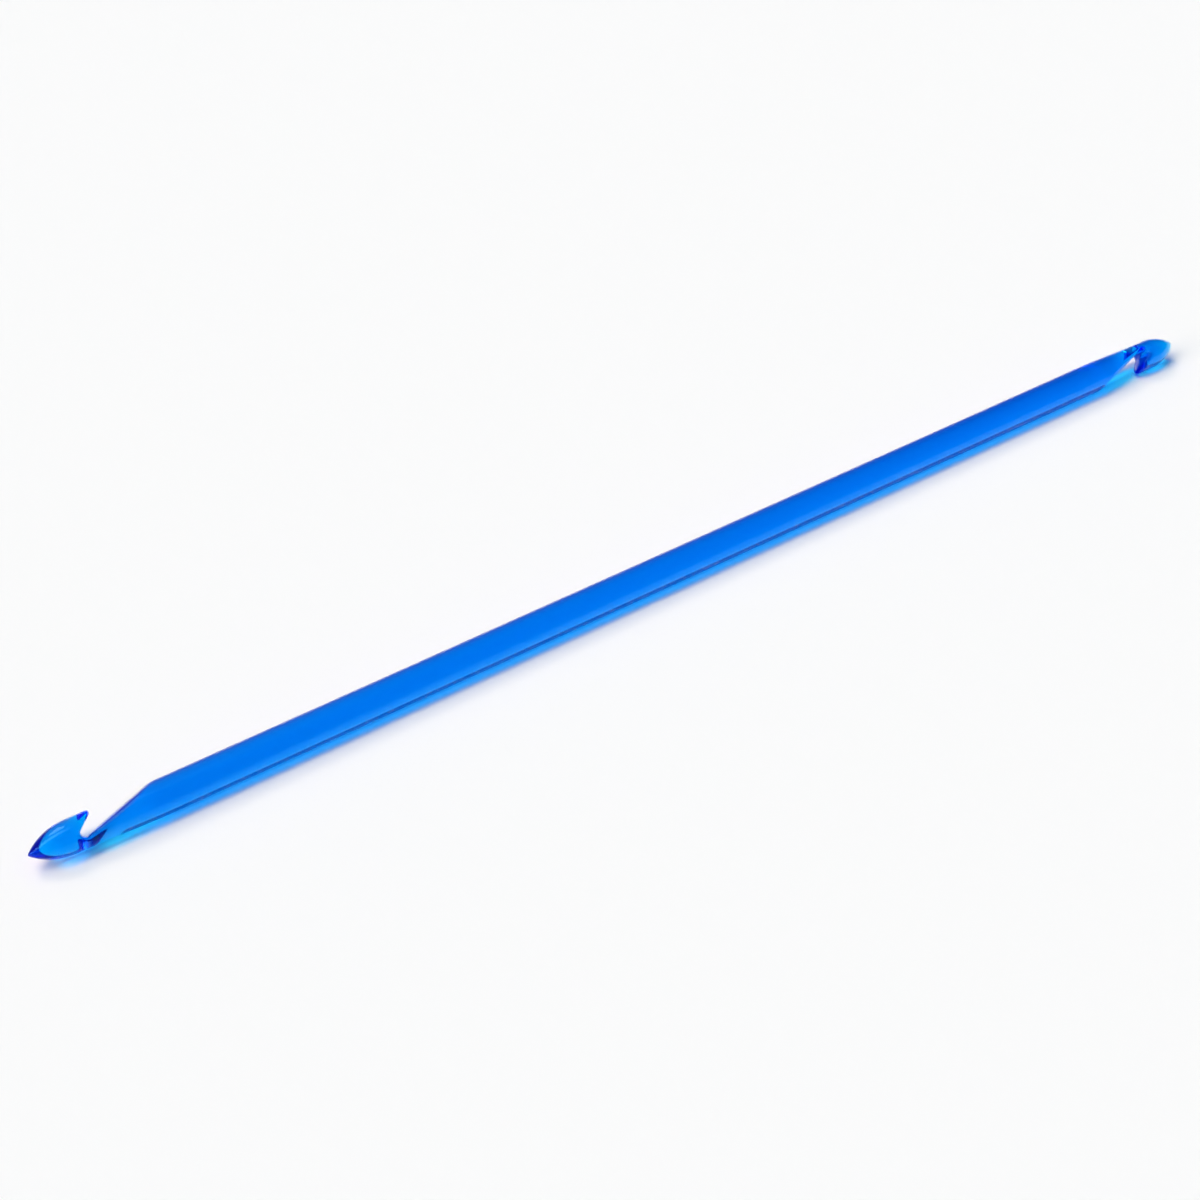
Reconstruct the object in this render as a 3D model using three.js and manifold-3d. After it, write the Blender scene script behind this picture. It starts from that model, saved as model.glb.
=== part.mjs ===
// Double-ended Tunisian crochet hook: one rod of clear blue plastic with a hook at each end.
// A hook is a pointed head, an undercut throat behind it and a long ramp back up to the shaft.
// The two throats open to opposite sides. The rod lies along X on the plane Z = 0, with Z up,
// and its throats are rolled over as they are when it lies on a table. Millimetres and degrees.
// The real rod is one moulding. Here it is three solids that meet face to face at plain round
// sections of the shaft, so that each solid has a simple shape.
import * as THREE from 'three';
import { mergeVertices } from 'three/addons/utils/BufferGeometryUtils.js';
import Module from 'manifold-3d';

// Shaft
const overallLength = 270;
const shaftDiameter = 6.5;
const restRoll = 50; // how far the first throat leans back from straight up

// Heads, a little thinner than the shaft and set off its axis towards their throats
const headDiameter = 6.13;
const headOffset = 0.28;
const noseLength = 7.5; // tip to where the head is at its full thickness
const noseBluntness = 0.12; // how far in front of the tip the nose's two sides would meet
const noseTipRadius = 0.3;

// Throats, in the plane that halves the rod through both of them
const lipReach = 12.4; // tip of the head to the end of its lip
const lipRadius = 0.23;
const lipAngle = 40.2; // between the underside of the lip and the axis
const throatDepth = 4.33; // below the surface of the shaft
const throatRadius = 0.77;
const rampAngle = 16.6;
const rampCornerRadius = 10;
const edgeRadius = 0.6; // rounding of the long edges of throat and ramp
const plainRunOut = 4; // plain round shaft that each hook's solid takes in past its ramp

// Fineness of the facets
const roundSides = 24;
const tipPlaces = [0.08, 0.3, 0.7, 1.2]; // rings on the ball of the tip, in its radii
const noseSteps = 9;
const neckSteps = 7;
const throatSteps = 10;
const lipSteps = 6;
const cornerSteps = 4;
const edgeSteps = 3;

// How the cuts run out: angles that keep a cut from just grazing a surface, the sharpest lip that
// a flared cut leaves, and how far a cut reaches past the rod
const grazeAngle = 4;
const lipGrazeAngle = 10;
const edgeEndAngle = 80;
const sharpestLip = 0.06;
const cutMargin = 2;
const mergeDistance = 1e-4;

const rad = THREE.MathUtils.degToRad;
const shaftRadius = shaftDiameter / 2;
const headRadius = headDiameter / 2;
const halfLength = overallLength / 2;
const cutReach = shaftRadius + cutMargin;
const axisHeight = Math.max(shaftRadius, headRadius + headOffset * Math.cos(rad(restRoll)));

// The throat's outline, as x from the tip of the head and y from the axis of the shaft:
// three arcs for the throat, the corner at the top of the ramp and the end of the lip
const lipCentre = new THREE.Vector2(lipReach - lipRadius, headOffset + headRadius - lipRadius);
const throatCentreY = shaftRadius - throatDepth + throatRadius;
const throatCentre = new THREE.Vector2(
  lipCentre.x + (lipRadius + throatRadius - (lipCentre.y - throatCentreY) * Math.cos(rad(lipAngle)))
    / Math.sin(rad(lipAngle)),
  throatCentreY,
);
const cornerCentreY = shaftRadius - rampCornerRadius;
const cornerCentre = new THREE.Vector2(
  throatCentre.x + (rampCornerRadius + throatRadius
    - (throatCentre.y - cornerCentreY) * Math.cos(rad(rampAngle))) / Math.sin(rad(rampAngle)),
  cornerCentreY,
);
const hookLength = cornerCentre.x + plainRunOut;

function arc(centre, radius, from, to, steps) {
  return Array.from({ length: steps + 1 }, (_, i) => {
    const angle = rad(THREE.MathUtils.lerp(from, to, i / steps));
    return new THREE.Vector2(centre.x + radius * Math.cos(angle), centre.y + radius * Math.sin(angle));
  });
}

// The outline of a throat cut that is larger all round by grow
function throatOutline(grow) {
  const corner = arc(cornerCentre, rampCornerRadius - grow, 90 + rampAngle, 90 + grazeAngle, cornerSteps);
  const rampEnd = corner[cornerSteps];
  const runOut = (cutReach - rampEnd.y) / Math.tan(rad(grazeAngle));
  const lip = arc(lipCentre, Math.max(lipRadius - grow, sharpestLip),
    90 - lipGrazeAngle, lipAngle - 90, lipSteps);
  return [
    ...arc(throatCentre, throatRadius + grow, 90 + lipAngle, 270 + rampAngle, throatSteps),
    ...corner,
    new THREE.Vector2(rampEnd.x + runOut, cutReach),
    new THREE.Vector2(lip[0].x, cutReach),
    ...lip,
  ];
}

// Joins a row of outlines, one at each depth, into a closed geometry with depth along Y
function loft(outlines, depths) {
  const count = outlines[0].length;
  const positions = outlines.flatMap((outline, i) => outline.flatMap((p) => [p.x, depths[i], p.y]));
  const faces = [];
  for (let ring = 0; ring + 1 < outlines.length; ring += 1) {
    for (let i = 0; i < count; i += 1) {
      const a = ring * count + i;
      const b = ring * count + ((i + 1) % count);
      faces.push(a, b + count, b, a, a + count, b + count);
    }
  }
  const last = (outlines.length - 1) * count;
  THREE.ShapeUtils.triangulateShape(outlines[0], []).forEach((face) => faces.push(...face));
  THREE.ShapeUtils.triangulateShape(outlines.at(-1), []).forEach(([a, b, c]) => {
    faces.push(last + a, last + c, last + b);
  });
  const geometry = new THREE.BufferGeometry();
  geometry.setAttribute('position', new THREE.Float32BufferAttribute(positions, 3));
  geometry.setIndex(faces);
  return geometry;
}

// The cut for one throat, measured from the tip: straight through the middle of the rod and
// flared out at its two sides, so that it leaves rounded edges
function throatCut() {
  const flare = Array.from({ length: edgeSteps + 1 }, (_, i) => rad((edgeEndAngle * i) / edgeSteps));
  const flareStart = shaftRadius - edgeRadius;
  const side = [
    ...flare.map((angle) => ({
      depth: flareStart + edgeRadius * Math.sin(angle),
      grow: edgeRadius * (1 - Math.cos(angle)),
    })),
    { depth: cutReach, grow: edgeRadius * (1 - Math.cos(flare[edgeSteps])) },
  ];
  const levels = [...side.toReversed().map(({ depth, grow }) => ({ depth: -depth, grow })), ...side];
  return loft(levels.map(({ grow }) => throatOutline(grow)), levels.map(({ depth }) => depth));
}

// Radius of the rod at a distance from its nearer tip: a small ball, a pointed arch, then the head
function noseRadius(fromTip) {
  const archLength = noseLength + noseBluntness;
  const archRadius = (archLength ** 2 + headRadius ** 2) / (2 * headRadius);
  const toFull = Math.min(fromTip, noseLength) - noseLength;
  const arch = headRadius - archRadius + Math.sqrt(archRadius ** 2 - toFull ** 2);
  const ball = Math.sqrt(Math.max(noseTipRadius ** 2 - (fromTip - noseTipRadius) ** 2, 0));
  return fromTip < noseTipRadius ? Math.min(arch, ball) : arch;
}

// How much of the way from head to shaft a place has come, from 0 behind the nose to 1 up the ramp
function neckShare(fromTip) {
  return THREE.MathUtils.smoothstep(fromTip, noseLength, cornerCentre.x);
}

// Distances from the tip at which the hook's blank has a ring of corners
function ringPlaces() {
  const tip = tipPlaces.map((radii) => radii * noseTipRadius);
  const nose = Array.from({ length: noseSteps }, (_, i) => {
    return THREE.MathUtils.lerp(tip.at(-1), noseLength, (i + 1) / noseSteps);
  });
  const neck = Array.from({ length: neckSteps }, (_, i) => {
    return THREE.MathUtils.lerp(noseLength, cornerCentre.x, (i + 1) / neckSteps);
  });
  return [...tip, ...nose, ...neck, hookLength];
}

// A round solid along X from rings of radius and x. Its facets just clear the true round, and
// one of them lies flat on the table.
function turned(rings) {
  const facetGrowth = 1 / Math.cos(Math.PI / roundSides);
  const profile = [
    new THREE.Vector2(0, rings[0].x),
    ...rings.map(({ radius, x }) => new THREE.Vector2(radius * facetGrowth, x)),
    new THREE.Vector2(0, rings.at(-1).x),
  ];
  return new THREE.LatheGeometry(profile, roundSides, Math.PI / roundSides).rotateZ(-Math.PI / 2);
}

const wasm = await Module();
wasm.setup();

// Merges a geometry's shared corners, drops the flat triangles at its poles and makes it a solid
function solid(geometry) {
  geometry.deleteAttribute('normal');
  geometry.deleteAttribute('uv');
  const merged = mergeVertices(geometry, mergeDistance);
  const index = merged.index.array;
  const faces = [];
  for (let i = 0; i < index.length; i += 3) {
    const [a, b, c] = [index[i], index[i + 1], index[i + 2]];
    if (a !== b && b !== c && c !== a) faces.push(a, b, c);
  }
  return new wasm.Manifold(new wasm.Mesh({
    numProp: 3,
    vertProperties: new Float32Array(merged.attributes.position.array),
    triVerts: new Uint32Array(faces),
  }));
}

function clearBluePlastic() {
  return new THREE.MeshStandardMaterial({
    color: 0x0571f5,
    roughness: 0.08,
    metalness: 0,
    transparent: true,
    opacity: 0.8,
  });
}

// A named mesh of a solid that was made about the rod's axis, raised to lie on the table
function piece(name, body) {
  const { vertProperties, triVerts } = body.getMesh();
  const geometry = new THREE.BufferGeometry();
  geometry.setAttribute('position', new THREE.BufferAttribute(new Float32Array(vertProperties), 3));
  geometry.setIndex(new THREE.BufferAttribute(new Uint32Array(triVerts), 1));
  const mesh = new THREE.Mesh(geometry, clearBluePlastic());
  mesh.name = name;
  mesh.position.z = axisHeight;
  return mesh;
}

// One hook, whose end is -1 for the first and 1 for the second. The second hook is the first one
// turned half a turn about the middle of the rod.
function hook(name, end) {
  const rings = ringPlaces().map((fromTip) => ({
    radius: THREE.MathUtils.lerp(noseRadius(fromTip), shaftRadius, neckShare(fromTip)),
    x: end * (halfLength - fromTip),
  }));
  rings.unshift({ radius: 0, x: end * halfLength });
  const blank = turned(end < 0 ? rings : rings.toReversed());
  const place = blank.attributes.position;
  for (let i = 0; i < place.count; i += 1) {
    const fromTip = halfLength - Math.abs(place.getX(i));
    const shift = -end * headOffset * (1 - neckShare(fromTip));
    place.setY(i, place.getY(i) + shift * Math.sin(rad(restRoll)));
    place.setZ(i, place.getZ(i) + shift * Math.cos(rad(restRoll)));
  }
  const cut = throatCut().translate(-halfLength, 0, 0);
  if (end > 0) cut.rotateY(Math.PI);
  return piece(name, solid(blank).subtract(solid(cut.rotateX(-rad(restRoll)))));
}

function shaft(name) {
  const reach = halfLength - hookLength;
  const rod = turned([{ radius: shaftRadius, x: -reach }, { radius: shaftRadius, x: reach }]);
  return piece(name, solid(rod));
}

const tunisianHook = new THREE.Group();
tunisianHook.add(hook('first_hook', -1), shaft('shaft'), hook('second_hook', 1));

export default tunisianHook;
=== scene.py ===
import math

import bmesh
import bpy
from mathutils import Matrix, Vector


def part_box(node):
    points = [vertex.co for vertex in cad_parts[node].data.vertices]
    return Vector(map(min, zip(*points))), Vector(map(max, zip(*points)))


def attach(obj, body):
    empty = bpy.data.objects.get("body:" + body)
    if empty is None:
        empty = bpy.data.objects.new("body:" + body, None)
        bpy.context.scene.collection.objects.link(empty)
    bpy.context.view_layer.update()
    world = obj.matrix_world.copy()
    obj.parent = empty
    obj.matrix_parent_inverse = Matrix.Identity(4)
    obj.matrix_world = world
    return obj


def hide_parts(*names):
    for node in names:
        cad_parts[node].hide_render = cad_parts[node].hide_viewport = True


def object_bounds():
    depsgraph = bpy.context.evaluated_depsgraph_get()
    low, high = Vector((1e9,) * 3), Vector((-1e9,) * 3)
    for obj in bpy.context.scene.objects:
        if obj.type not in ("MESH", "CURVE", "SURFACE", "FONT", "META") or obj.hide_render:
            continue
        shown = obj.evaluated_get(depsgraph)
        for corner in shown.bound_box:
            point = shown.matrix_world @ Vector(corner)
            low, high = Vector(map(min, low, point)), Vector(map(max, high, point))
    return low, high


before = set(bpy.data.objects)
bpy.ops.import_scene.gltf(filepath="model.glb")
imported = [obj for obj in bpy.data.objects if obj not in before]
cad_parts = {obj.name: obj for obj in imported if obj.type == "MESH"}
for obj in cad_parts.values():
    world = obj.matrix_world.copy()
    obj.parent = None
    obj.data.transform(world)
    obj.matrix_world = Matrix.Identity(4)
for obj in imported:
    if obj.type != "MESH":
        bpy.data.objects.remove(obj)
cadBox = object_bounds()
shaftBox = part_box("shaft")
mm = 0.001


# Camera, at the photograph's angle

cameraView = {
    "fieldOfView": 30,  # degrees across the frame
    "elevation": 39.91,  # degrees that it looks down
    "turn": 35.09,  # degrees that it looks to the right of +Y
    "distance": 0.4302,  # to the point on the floor that it aims at
    "aim": (-0.0162, 0.0031, 0.0),
}


def addCamera():
    tilt = math.radians(cameraView["elevation"])
    turn = math.radians(cameraView["turn"])
    forward = Vector((math.sin(turn) * math.cos(tilt), math.cos(turn) * math.cos(tilt), -math.sin(tilt)))
    data = bpy.data.cameras.new("camera")
    data.angle = math.radians(cameraView["fieldOfView"])
    camera = bpy.data.objects.new("camera", data)
    camera.location = Vector(cameraView["aim"]) - forward * cameraView["distance"]
    camera.rotation_euler = (math.pi / 2 - tilt, 0, -turn)
    bpy.context.collection.objects.link(camera)
    bpy.context.scene.camera = camera
    print("camera in place")


addCamera()


# Hook: sizes in millimetres and degrees. s runs along the rod from the tip of a head, w from the
# shaft's axis towards that head's throat, and d sideways.

hook = {
    "roll": 50,  # how far the first throat leans back from straight up
    "headRadius": 3.065,
    "headOffset": 0.28,  # of the head's axis from the shaft's, towards the throat
    "noseLength": 7.5,
    "noseBluntness": 0.12,  # how far in front of the tip the nose's two sides would meet
    "tipRadius": 0.3,
    "lipReach": 12.4,  # tip of the head to the end of its lip
    "lipRadius": 0.23,
    "lipAngle": 40.2,  # between the underside of the lip and the axis
    "throatDepth": 4.33,  # below the surface of the shaft
    "throatRadius": 0.85,
    "rampAngle": 16.6,
    "draft": 0.15,  # how much the throat widens towards its two sides
    "draftMiddle": 0.5,  # how far from the middle the draft fades out
    "draftReach": 2.2,  # how far from the middle the throat has the sizes given above
    "edgeRounding": 1.0,
    "lipRounding": 1.2,
    "lipRoundingStart": 1,  # height above the axis at which the edges turn to the lip's rounding
    "rampEndRounding": 0.15,
    "rampEndBlend": (9, 1),  # where the edges turn to the ramp end's rounding, back from that end
    "neckLength": 25.8,  # tip to where the head has become the shaft
    "hookLength": 28,  # tip to where the rod is plain and round
    "vertsRound": 64,
    "shaftRings": 24,
    "mergeDistance": 1e-7,  # metres
}
shaftRadius = (shaftBox[1].z - shaftBox[0].z) / 2 / mm
halfLength = (cadBox[1].x - cadBox[0].x) / 2 / mm
lipSlope = math.radians(hook["lipAngle"])
rampSlope = math.radians(hook["rampAngle"])
lipCentre = Vector((
    hook["lipReach"] - hook["lipRadius"],
    hook["headOffset"] + hook["headRadius"] - hook["lipRadius"],
))
throatHeight = shaftRadius - hook["throatDepth"] + hook["throatRadius"]
lipToThroat = hook["lipRadius"] + hook["throatRadius"]  # between their centres, across the lip's face
throatCentre = Vector((
    lipCentre.x + (lipToThroat - (lipCentre.y - throatHeight) * math.cos(lipSlope)) / math.sin(lipSlope),
    throatHeight,
))
alongLip = Vector((math.cos(lipSlope), math.sin(lipSlope)))
alongRamp = Vector((math.cos(rampSlope), math.sin(rampSlope)))
lipOut = Vector((-alongLip.y, alongLip.x))  # from the throat into the head
rampOut = Vector((alongRamp.y, -alongRamp.x))  # from the throat into the rod
rampEnd = throatCentre.x + (
    (shaftRadius - throatCentre.y) + hook["throatRadius"] / math.cos(rampSlope)
) / math.tan(rampSlope)


def smooth(x, low, high):
    t = min(max((x - low) / (high - low), 0), 1)
    return t * t * (3 - 2 * t)


def noseRadius(s):
    archLength = hook["noseLength"] + hook["noseBluntness"]
    archRadius = (archLength ** 2 + hook["headRadius"] ** 2) / (2 * hook["headRadius"])
    toFull = min(s, hook["noseLength"]) - hook["noseLength"]
    arch = hook["headRadius"] - archRadius + math.sqrt(archRadius ** 2 - toFull ** 2)
    if s < hook["tipRadius"]:
        return min(arch, math.sqrt(max(s * (2 * hook["tipRadius"] - s), 0)))
    return arch


def neckShare(s):
    return smooth(s, hook["noseLength"], hook["neckLength"])


def roundRadius(s):
    return noseRadius(s) + (shaftRadius - hook["headRadius"]) * neckShare(s)


def roundOffset(s):
    return hook["headOffset"] * (1 - neckShare(s))


# How far a point is outside the turned round of the rod
def outsideRound(s, w, d):
    across = math.hypot(w - roundOffset(s), d)
    if s < 0:
        return math.hypot(s, across)
    return across - roundRadius(s)


# How deep a point is inside the throat, whose outline is a wedge with a rounded bottom
def insideThroat(s, w, d):
    place = Vector((s, w)) - throatCentre
    overLip = place.dot(lipOut)
    underRamp = place.dot(rampOut)
    if overLip <= 0 and underRamp <= 0:
        away = max(overLip, underRamp)
    elif place.dot(alongLip) > 0 and overLip > 0:
        away = overLip
    elif place.dot(alongRamp) > 0 and underRamp > 0:
        away = underRamp
    else:
        away = place.length
    widening = hook["draft"] * (math.hypot(d, hook["draftMiddle"]) - hook["draftReach"])
    return hook["throatRadius"] + widening - away


# Above zero outside the hook: the turned round with the throat taken out, its edges rounded over
def outsideHook(s, w, d):
    toLip = smooth(w, hook["lipRoundingStart"], lipCentre.y)
    upRamp = smooth(s, rampEnd - hook["rampEndBlend"][0], rampEnd - hook["rampEndBlend"][1])
    rounding = hook["edgeRounding"] + (hook["lipRounding"] - hook["edgeRounding"]) * toLip
    rounding += (hook["rampEndRounding"] - rounding) * upRamp
    fromRound = outsideRound(s, w, d)
    fromThroat = insideThroat(s, w, d)
    inner = min(max(fromRound, fromThroat), -rounding)
    return inner + math.hypot(max(fromRound + rounding, 0), max(fromThroat + rounding, 0))


# The first place outwards along a line at which it leaves the hook, as a share of the step given
def leavingShare(start, step):
    pace = 0.1
    furthest = 4
    halvings = 18

    def outside(share):
        return outsideHook(*(start + step * share)) > 0

    inside, out = 0.0, pace
    while not outside(out) and out < furthest:
        inside, out = out, out + pace
    for _ in range(halvings):
        middle = (inside + out) / 2
        inside, out = (inside, middle) if outside(middle) else (middle, out)
    return (inside + out) / 2


# Rings: each runs round the hook in a plane, from the outer outline (the nose, then the
# underside) to the inner one (the lip's face, the throat, then the ramp). They fan round the throat.

ringSteps = {"lip": 16, "head": 8, "nose": 18, "chin": 12, "web": 12, "ramp": 28}
ringPlaces = {
    "lipStart": 0.5,  # the first open ring, back from the corner that the lip would have if sharp
    "lipBack": 1.8,  # from there to the end of the lip's close rings
    "face": 2.2,  # down the lip's face to the ring that meets the end of the nose
    "chin": 5.0,  # from the tip along the underside to the end of the chin's rings
    "throat": 0.45,  # share of the throat's bottom that the chin's rings take in
}


def topOfNose(s):
    return Vector((s, roundOffset(s) + roundRadius(s)))


def underside(s):
    return Vector((s, roundOffset(s) - roundRadius(s)))


# The inner outline at a distance from the lip: down the lip's face and round the bottom of the throat
def innerOutline(distance):
    faceTop = throatCentre + lipOut * hook["throatRadius"] + alongLip * faceLength
    if distance < faceLength:
        return faceTop - alongLip * distance
    turn = (distance - faceLength) / hook["throatRadius"]
    turned = math.pi / 2 + lipSlope + turn
    return throatCentre + Vector((math.cos(turned), math.sin(turned))) * hook["throatRadius"]


lipCorner = lipCentre + Vector((hook["lipRadius"] / math.tan(lipSlope / 2), hook["lipRadius"]))
faceLength = (lipCentre - throatCentre).dot(alongLip)
arcLength = hook["throatRadius"] * (math.pi - lipSlope + rampSlope)
webStart = innerOutline(faceLength + arcLength).x


# Where each ring crosses the outer and the inner outline. Where a part is stepped by the root of a
# length, its rings lie closest at the lip or at the tip of the nose, where the outline bends most.
def ringEnds():
    def between(start, end, part):
        steps = ringSteps[part]
        return [start + (end - start) * i / steps for i in range(steps)]

    noseEnd = hook["noseLength"]
    chin = ringPlaces["chin"]
    face = ringPlaces["face"]
    throatMiddle = faceLength + arcLength * ringPlaces["throat"]
    throatEnd = faceLength + arcLength
    pairs = []
    for root in between(0, math.sqrt(ringPlaces["lipBack"]), "lip"):
        back = ringPlaces["lipStart"] + root * root
        pairs.append((lipCorner - Vector((back, 0)), lipCorner - alongLip * back))
    back = ringPlaces["lipStart"] + ringPlaces["lipBack"]
    down = back - (lipCorner - lipCentre).dot(alongLip)
    for outer, inner in zip(between(lipCorner.x - back, noseEnd, "head"), between(down, face, "head")):
        pairs.append((topOfNose(outer), innerOutline(inner)))
    for root, inner in zip(between(math.sqrt(noseEnd), 0, "nose"), between(face, faceLength, "nose")):
        pairs.append((topOfNose(root * root), innerOutline(inner)))
    inners = between(faceLength, throatMiddle, "chin")
    for root, inner in zip(between(0, math.sqrt(chin), "chin"), inners):
        pairs.append((underside(root * root), innerOutline(inner)))
    for outer, inner in zip(between(chin, webStart, "web"), between(throatMiddle, throatEnd, "web")):
        pairs.append((underside(outer), innerOutline(inner)))
    for s in between(webStart, hook["hookLength"], "ramp"):
        height = min(shaftRadius, innerOutline(throatEnd).y + (s - webStart) * math.tan(rampSlope))
        pairs.append((underside(s), Vector((s, height))))
    return pairs


# Points of one ring, the first at the outer outline
def ringPoints(outer, inner):
    def at(place, depth=0.0):
        return Vector((place.x, place.y, depth))

    middle = (outer + inner) / 2
    reach = outer - middle
    outEnd = middle + reach * leavingShare(at(middle), at(reach))
    inEnd = middle - reach * leavingShare(at(middle), -at(reach))
    middle = (outEnd + inEnd) / 2
    reach = (outEnd - inEnd) / 2
    oneSide = Vector((0, 0, 1))
    sideways = oneSide * leavingShare(at(middle), oneSide)
    points = []
    for i in range(hook["vertsRound"]):
        angle = 2 * math.pi * i / hook["vertsRound"]
        step = at(reach) * math.cos(angle) + sideways * math.sin(angle)
        points.append(at(middle) + step * leavingShare(at(middle), step))
    return points


# The line that the lip ends in: the first ring folded flat, so that its two halves meet
def lipEdge(nextRing):
    widthShare = 0.8  # of the next ring's width
    startDepth = 0.3
    leastDepth = 0.05
    pace = 0.1
    outwards = Vector((math.cos(lipSlope / 2), math.sin(lipSlope / 2), 0))
    widest = max(point.z for point in nextRing) * widthShare
    base = Vector((lipCentre.x, lipCentre.y, 0)) - outwards * startDepth
    points = []
    for i in range(hook["vertsRound"]):
        depth = widest * math.sin(2 * math.pi * i / hook["vertsRound"])
        start = base + Vector((0, 0, depth))
        while outsideHook(*start) > -leastDepth:
            start -= outwards * pace
        points.append(start + outwards * leavingShare(start, outwards))
    return points


# A point of the first hook (end -1), or the same one on the second hook (end 1), in the CAD frame
def placeInFrame(point, end):
    lean = math.radians(hook["roll"])
    x = end * (halfLength - point.x)
    y = -end * (point.y * math.sin(lean)) + point.z * math.cos(lean)
    z = -end * (point.y * math.cos(lean)) - point.z * math.sin(lean)
    return Vector((x, y, z + shaftRadius)) * mm


# Gives edges and faces an order that is the same each run, by the corners that they join
def putInOrder(bm):
    bm.verts.index_update()
    total = len(bm.verts)

    def order(part):
        corners = [vert.index for vert in part.verts]
        return max(corners) * total + min(corners)

    bm.edges.sort(key=order)
    bm.faces.sort(key=order)


# The rings of the first hook, the shaft and the second hook, on a grid that a full spin closes
def makeHook():
    half = [ringPoints(outer, inner) for outer, inner in ringEnds()]
    half.insert(0, lipEdge(half[0]))
    count = hook["vertsRound"]

    # Half a turn brings a ring's points to the other side and the other way round, so they are
    # taken back into the first hook's order
    def onSecondHook(ring):
        placed = [placeInFrame(point, 1) for point in ring]
        return [placed[(count // 2 - i) % count] for i in range(count)]

    rings = [[placeInFrame(point, -1) for point in ring] for ring in half]
    first, last = rings[-1], onSecondHook(half[-1])
    for step in range(1, hook["shaftRings"]):
        share = step / hook["shaftRings"]
        rings.append([a.lerp(b, share) for a, b in zip(first, last)])
    rings += [onSecondHook(ring) for ring in reversed(half)]
    bm = bmesh.new()
    rows = [bm.verts.new((row, 1, 0)) for row in range(len(rings))]
    line = [bm.edges.new(pair) for pair in zip(rows, rows[1:])]
    bmesh.ops.spin(
        bm, geom=rows + line, cent=(0, 0, 0), axis=(1, 0, 0), angle=2 * math.pi,
        steps=count, use_merge=True,
    )
    for vert in bm.verts:
        row = round(vert.co.x)
        column = round(math.atan2(vert.co.z, vert.co.y) / (2 * math.pi) * count) % count
        vert.co = rings[row][column]
    bmesh.ops.remove_doubles(bm, verts=bm.verts, dist=hook["mergeDistance"])
    bmesh.ops.recalc_face_normals(bm, faces=bm.faces)
    putInOrder(bm)
    for face in bm.faces:
        face.smooth = True
    mesh = bpy.data.meshes.new("tunisian_hook")
    bm.to_mesh(mesh)
    bm.free()
    piece = bpy.data.objects.new("tunisian_hook", mesh)
    bpy.context.collection.objects.link(piece)
    finer = piece.modifiers.new("finer", "SUBSURF")
    finer.levels = finer.render_levels = 1
    print("hook made:", len(rings), "rings of", count)
    return piece


# Clear blue plastic

plastic = {
    "ior": 1.49,
    "tint": (0.9, 0.97, 1.0, 1),
    "reflected": (0.1, 0.5, 1.0, 1),
    "absorbed": (0.0, 0.914, 0.999, 1),
    "density": 2500,  # per metre
    "roughness": (0.015, 0.07),
    "patchScale": 220,
    "patchDetail": 6,
    "patchLevels": (0.35, 0.75),  # of the noise, where the patches begin and are at their dullest
    "stretch": (0.08, 1, 1),  # draws scratches and waves out along the rod
    "scratchScale": 2600,
    "scratchDetail": 3,
    "scratchHeight": 0.00002,
    "scratches": 0.03,
    "waveScale": 160,
    "waveDetail": 1,
    "waveHeight": 0.0004,
    "waves": 0.02,
}


def clearBluePlastic():
    material = bpy.data.materials.new("clear_blue_plastic")
    material.use_nodes = True
    nodes, links = material.node_tree.nodes, material.node_tree.links
    shader = nodes["Principled BSDF"]
    shader.inputs["Base Color"].default_value = plastic["tint"]
    shader.inputs["IOR"].default_value = plastic["ior"]
    shader.inputs["Transmission Weight"].default_value = 1
    shader.inputs["Specular Tint"].default_value = plastic["reflected"]
    place = nodes.new("ShaderNodeTexCoord")
    stretched = nodes.new("ShaderNodeMapping")
    stretched.inputs["Scale"].default_value = plastic["stretch"]
    links.new(place.outputs["Object"], stretched.inputs["Vector"])

    def noise(at, scale, detail):
        texture = nodes.new("ShaderNodeTexNoise")
        texture.inputs["Scale"].default_value = scale
        texture.inputs["Detail"].default_value = detail
        links.new(at, texture.inputs["Vector"])
        return texture.outputs["Fac"]

    def bump(height, strength, distance):
        node = nodes.new("ShaderNodeBump")
        node.inputs["Strength"].default_value = strength
        node.inputs["Distance"].default_value = distance
        links.new(height, node.inputs["Height"])
        return node

    patches = noise(place.outputs["Object"], plastic["patchScale"], plastic["patchDetail"])
    dulling = nodes.new("ShaderNodeMapRange")  # by handling
    dulling.inputs["From Min"].default_value = plastic["patchLevels"][0]
    dulling.inputs["From Max"].default_value = plastic["patchLevels"][1]
    dulling.inputs["To Min"].default_value = plastic["roughness"][0]
    dulling.inputs["To Max"].default_value = plastic["roughness"][1]
    links.new(patches, dulling.inputs["Value"])
    links.new(dulling.outputs["Result"], shader.inputs["Roughness"])

    scratches = noise(stretched.outputs["Vector"], plastic["scratchScale"], plastic["scratchDetail"])
    waves = noise(stretched.outputs["Vector"], plastic["waveScale"], plastic["waveDetail"])
    fine = bump(scratches, plastic["scratches"], plastic["scratchHeight"])
    slow = bump(waves, plastic["waves"], plastic["waveHeight"])  # left by the mould
    links.new(fine.outputs["Normal"], slow.inputs["Normal"])
    links.new(slow.outputs["Normal"], shader.inputs["Normal"])

    inside = nodes.new("ShaderNodeVolumeAbsorption")
    inside.inputs["Color"].default_value = plastic["absorbed"]
    inside.inputs["Density"].default_value = plastic["density"]
    links.new(inside.outputs["Volume"], nodes["Material Output"].inputs["Volume"])
    print("plastic made")
    return material


# Studio: a pale floor in a dim bluish room, with a warm soft lamp low behind the rod and a long soft
# box over it. Together they light the floor nearly white, without a tint.

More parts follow.
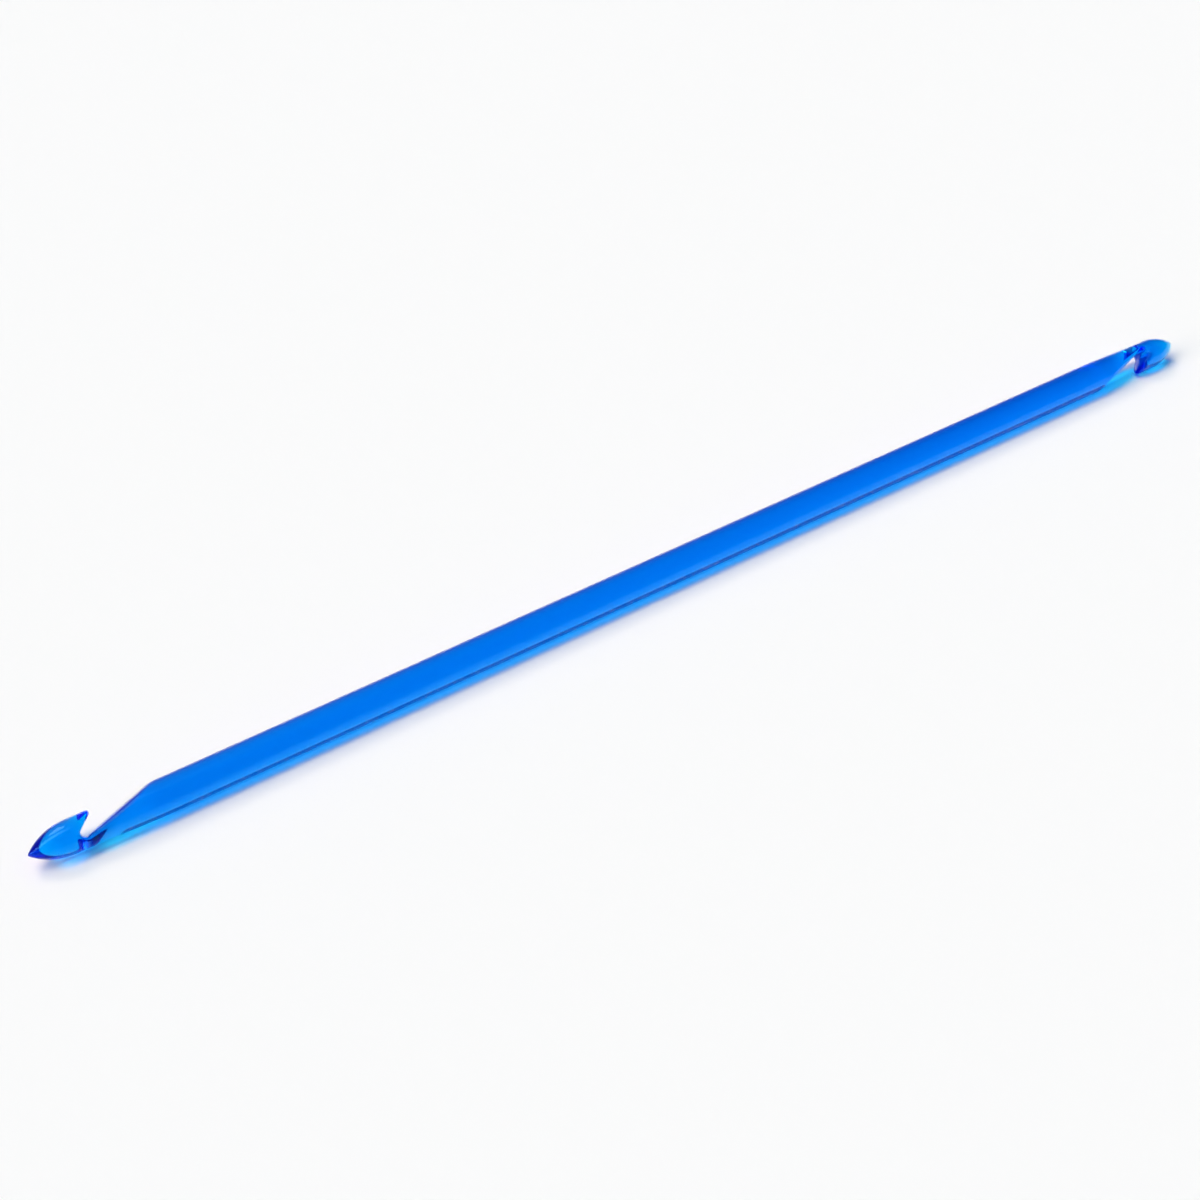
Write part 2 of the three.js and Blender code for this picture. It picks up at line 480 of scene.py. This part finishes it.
studio = {
    "floorSize": 6,
    "floorColor": (0.95, 0.95, 0.95, 1),
    "lampFrom": (-0.07, 0.58, 0.81),
    "lampSpread": 24,  # degrees across
    "lampStrength": 0.87,
    "boxFrom": (-0.6, 0.1, 0.8),
    "boxTurn": -10,  # degrees that it leans over
    "boxHalfSize": (1.0, 0.25, 20),
    "boxRim": 0.6,  # share of the way in from its edge over which it brightens
    "boxStrength": 6.44,
    "keyColor": (1.0, 0.832, 0.607),
    "roomInFront": (0.01, 0.25, 0.47, 1),
    "roomBehind": (0.27, 0.3, 0.48, 1),
    "behindFrom": (-0.7, 0.7, 0.0),
    "behindBlend": (-0.2, 0.5),  # how far that way the room's colour starts and stops changing
}


def addFloor():
    bm = bmesh.new()
    bmesh.ops.create_grid(bm, x_segments=1, y_segments=1, size=studio["floorSize"] / 2)
    mesh = bpy.data.meshes.new("floor")
    bm.to_mesh(mesh)
    bm.free()
    floor = bpy.data.objects.new("floor", mesh)
    bpy.context.collection.objects.link(floor)
    paper = bpy.data.materials.new("floor")
    paper.use_nodes = True
    shader = paper.node_tree.nodes["Principled BSDF"]
    shader.inputs["Base Color"].default_value = studio["floorColor"]
    shader.inputs["Roughness"].default_value = 1
    shader.inputs["Specular IOR Level"].default_value = 0
    mesh.materials.append(paper)
    print("floor in place")


def addLamp():
    data = bpy.data.lights.new("lamp", "SUN")
    data.energy = studio["lampStrength"]
    data.angle = math.radians(studio["lampSpread"])
    data.color = studio["keyColor"]
    lamp = bpy.data.objects.new("lamp", data)
    lamp.rotation_euler = Vector(studio["lampFrom"]).to_track_quat("Z", "Y").to_euler()
    bpy.context.collection.objects.link(lamp)


def addRoom():
    world = bpy.data.worlds.new("room")
    world.use_nodes = True
    nodes, links = world.node_tree.nodes, world.node_tree.links
    way = nodes.new("ShaderNodeTexCoord")
    box = nodes.new("ShaderNodeMapping")
    box.vector_type = "TEXTURE"
    box.inputs["Location"].default_value = studio["boxFrom"]
    box.inputs["Rotation"].default_value = (math.radians(studio["boxTurn"]), 0, 0)
    box.inputs["Scale"].default_value = studio["boxHalfSize"]
    links.new(way.outputs["Generated"], box.inputs["Vector"])
    glow = nodes.new("ShaderNodeTexGradient")
    glow.gradient_type = "SPHERICAL"
    links.new(box.outputs["Vector"], glow.inputs["Vector"])
    boxLevel = nodes.new("ShaderNodeMapRange")
    boxLevel.interpolation_type = "SMOOTHSTEP"
    boxLevel.inputs["From Max"].default_value = studio["boxRim"]
    boxLevel.inputs["To Max"].default_value = studio["boxStrength"]
    links.new(glow.outputs["Fac"], boxLevel.inputs["Value"])
    side = nodes.new("ShaderNodeVectorMath")
    side.operation = "DOT_PRODUCT"
    side.inputs[1].default_value = studio["behindFrom"]
    links.new(way.outputs["Generated"], side.inputs[0])
    behind = nodes.new("ShaderNodeMapRange")
    behind.interpolation_type = "SMOOTHSTEP"
    behind.inputs["From Min"].default_value = studio["behindBlend"][0]
    behind.inputs["From Max"].default_value = studio["behindBlend"][1]
    links.new(side.outputs["Value"], behind.inputs["Value"])
    roomColor = nodes.new("ShaderNodeMix")
    roomColor.data_type = "RGBA"
    roomColor.inputs[6].default_value = studio["roomInFront"]  # its first colour
    roomColor.inputs[7].default_value = studio["roomBehind"]  # and its second
    links.new(behind.outputs["Result"], roomColor.inputs["Factor"])
    room = nodes.new("ShaderNodeBackground")
    links.new(roomColor.outputs[2], room.inputs["Color"])
    softBox = nodes["Background"]
    softBox.inputs["Color"].default_value = (*studio["keyColor"], 1)
    links.new(boxLevel.outputs["Result"], softBox.inputs["Strength"])
    both = nodes.new("ShaderNodeAddShader")
    links.new(softBox.outputs["Background"], both.inputs[0])
    links.new(room.outputs["Background"], both.inputs[1])
    links.new(both.outputs["Shader"], nodes["World Output"].inputs["Surface"])
    bpy.context.scene.world = world


hookPiece = makeHook()
hookPiece.data.materials.append(clearBluePlastic())
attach(hookPiece, "root")
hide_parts("first_hook", "shaft", "second_hook")
addFloor()
addLamp()
addRoom()
bpy.context.scene.view_settings.view_transform = "Standard"
cycles = bpy.context.scene.cycles
cycles.blur_glossy = 0  # so that the light that the rod gathers stays sharp
bounces = 64  # enough for light that is trapped in the rod to find its way out
cycles.max_bounces = bounces
cycles.glossy_bounces = bounces
cycles.transmission_bounces = bounces
print("studio in place")
